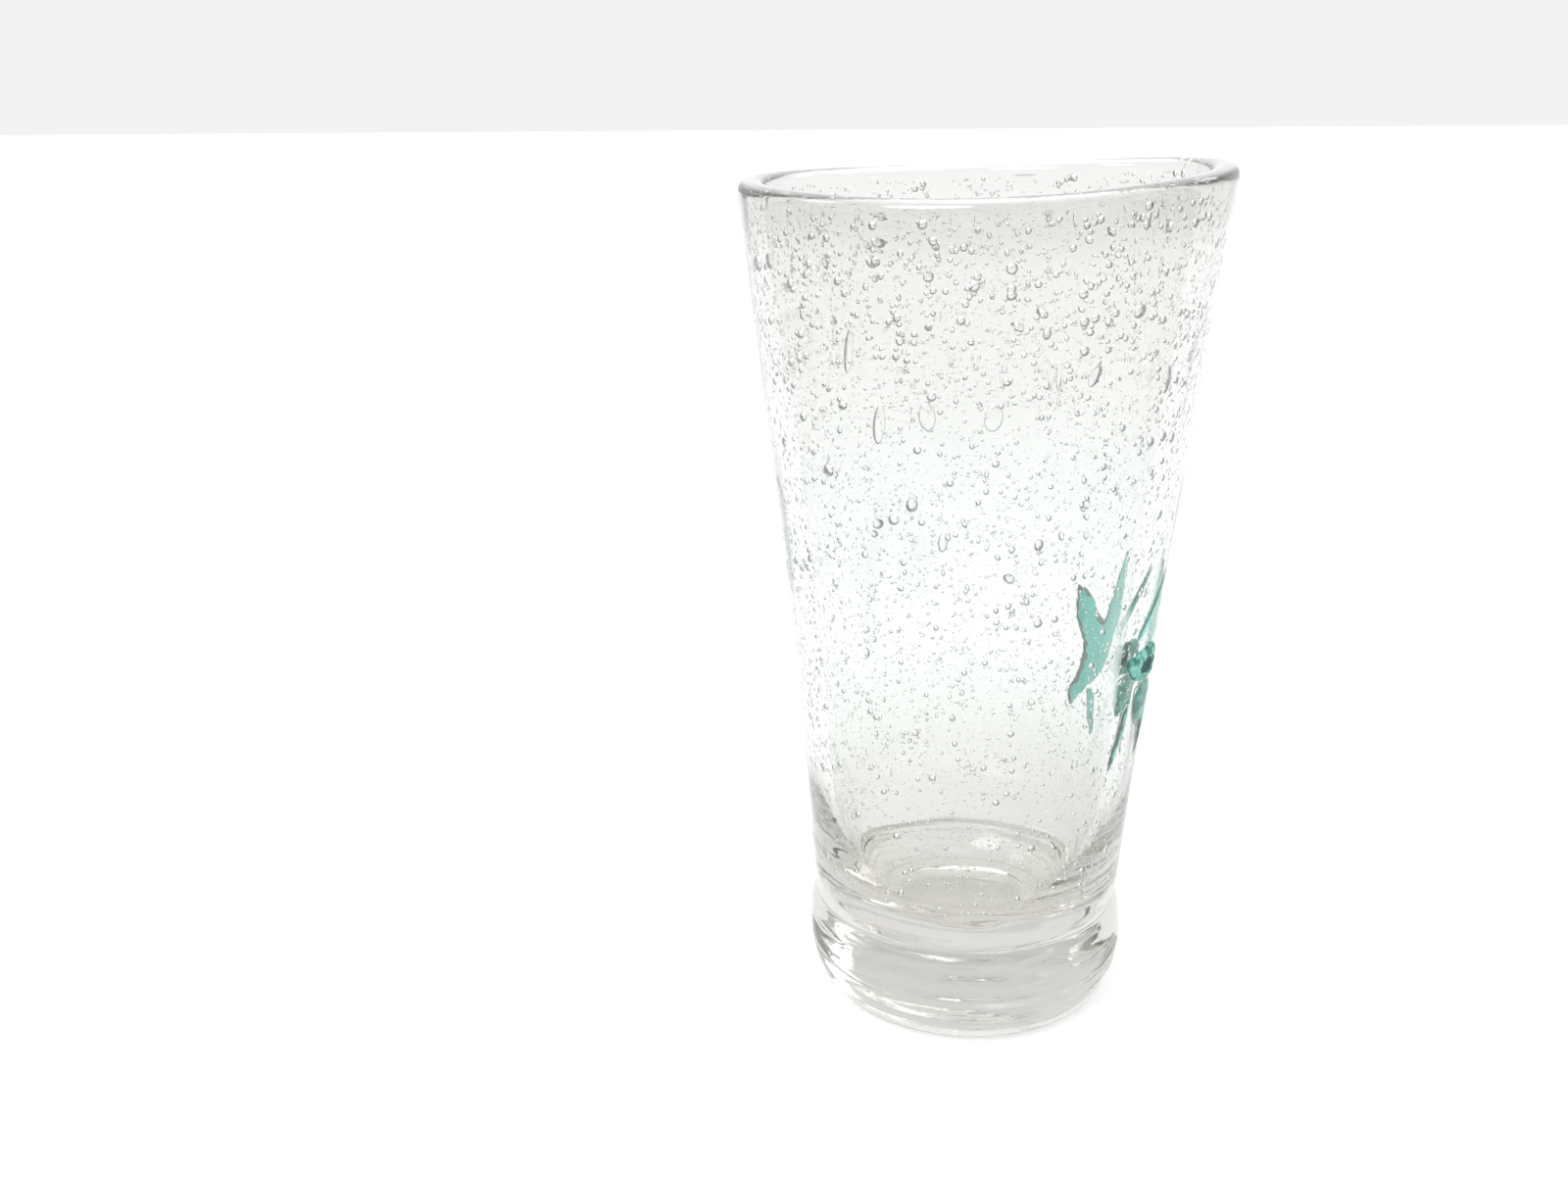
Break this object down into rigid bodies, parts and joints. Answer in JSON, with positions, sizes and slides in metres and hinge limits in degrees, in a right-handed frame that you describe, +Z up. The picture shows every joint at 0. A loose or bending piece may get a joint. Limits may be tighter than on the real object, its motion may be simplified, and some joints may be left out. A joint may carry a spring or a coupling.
{
  "type": "drinking tumbler",
  "caption": "Tall flared hand-made glass tumbler with seeded bubbles, a thick clear foot and a turquoise applied glass decoration on one side.",
  "frame": {"origin": "centre of the face the tumbler stands on, under the foot", "axes": "+Z up along the vessel's axis; +X towards the side with the boss; the star is round towards +Y"},
  "size_m": [0.088, 0.088, 0.1628],
  "materials": {
    "seeded_glass": "clear glass full of fine round air bubbles, fire-polished",
    "clear_glass": "thick clear glass with a slight warm grey cast, fire-polished, a few faint ripples",
    "turquoise_glass": "opaque to translucent turquoise glass, smooth",
    "deep_green_glass": "deep blue-green glass, lumpy and finely pitted"
  },
  "bodies": {
    "root": {"seeded_body": "seeded_glass", "clear_foot": "clear_glass", "star_pad": "turquoise_glass", "star_trail": "turquoise_glass", "boss_pad": "deep_green_glass", "upper_frond": "turquoise_glass", "lower_lobe": "turquoise_glass", "tail_streak": "turquoise_glass"}
  },
  "joints": []
}
